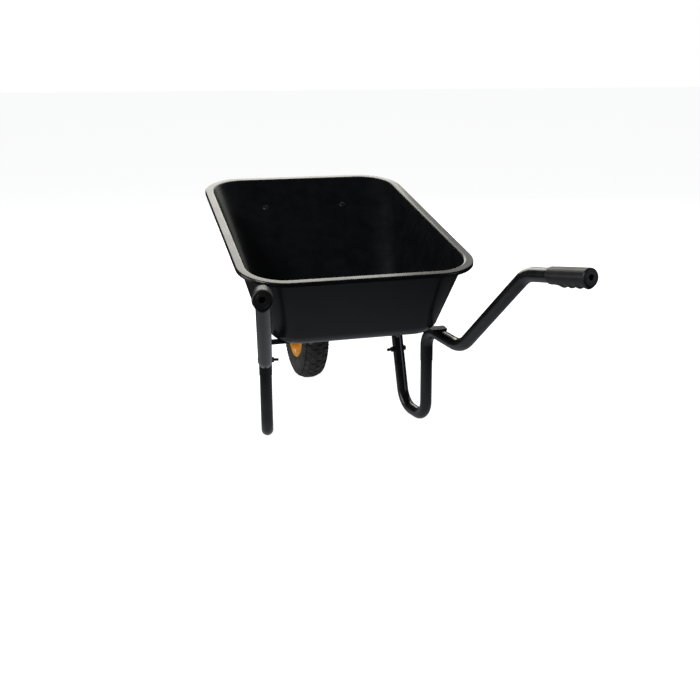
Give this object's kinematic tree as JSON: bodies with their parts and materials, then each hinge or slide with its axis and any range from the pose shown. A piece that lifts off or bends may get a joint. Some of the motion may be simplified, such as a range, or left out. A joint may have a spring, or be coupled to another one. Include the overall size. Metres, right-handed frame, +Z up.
{
  "type": "wheelbarrow",
  "caption": "Single-wheel barrow with a sloped pressed-steel tray on a bent tubular frame, looped legs, pushed-on grips and a pneumatic wheel that spins on a fixed axle.",
  "frame": {"origin": "on the ground under the middle of the whole object", "axes": "+Y forward towards the wheel, +Z up, +X to the user's right"},
  "size_m": [0.684, 1.3416, 0.5916],
  "materials": {
    "black_paint": "satin black powder coat",
    "tray_paint": "gloss black paint on pressed sheet",
    "zinc": "bright zinc plate",
    "black_zinc": "black plated fastener",
    "bearing_steel": "polished bearing steel",
    "grip_plastic": "soft black moulded plastic",
    "rim_paint": "orange-yellow enamel",
    "tyre_rubber": "black rubber tyre with block tread",
    "tube_rubber": "butyl rubber"
  },
  "bodies": {
    "frame": {"tray": "tray_paint", "handle_tube_left": "black_paint", "handle_tube_right": "black_paint", "grip_left": "grip_plastic", "grip_right": "grip_plastic", "leg_tube_left": "black_paint", "leg_tube_right": "black_paint", "leg_bolts": "black_zinc", "leg_nuts": "black_zinc", "nose_tube": "black_paint", "rear_cross_strap": "black_paint", "front_cross_strap": "black_paint", "floor_bolts": "zinc", "floor_washers": "zinc", "floor_nuts": "zinc", "front_stay_left": "black_paint", "front_stay_right": "black_paint", "stay_wall_bolts": "black_zinc", "stay_wall_nuts": "zinc", "stay_foot_bolts": "zinc", "stay_foot_nuts": "zinc", "axle_bracket_left": "black_paint", "axle_bracket_right": "black_paint", "axle": "zinc", "axle_washers": "zinc", "axle_nut": "zinc", "spacer_left": "zinc", "spacer_right": "zinc", "hub_spacer": "zinc", "bearing_inner_races": "bearing_steel"},
    "wheel": {"bearing_outer_races": "bearing_steel", "bearing_balls": "bearing_steel", "hub": "rim_paint", "rim_half_left": "rim_paint", "rim_half_right": "rim_paint", "rim_bolts": "zinc", "rim_nuts": "zinc", "tyre": "tyre_rubber", "inner_tube": "tube_rubber", "valve_stem": "tube_rubber", "valve_cap": "grip_plastic"}
  },
  "joints": [
    {"name": "wheel_spin", "type": "hinge", "parent": "frame", "child": "wheel", "pos_m": [0, 0.4402, 0.17247], "axis": [1, 0, 0], "continuous": true}
  ]
}
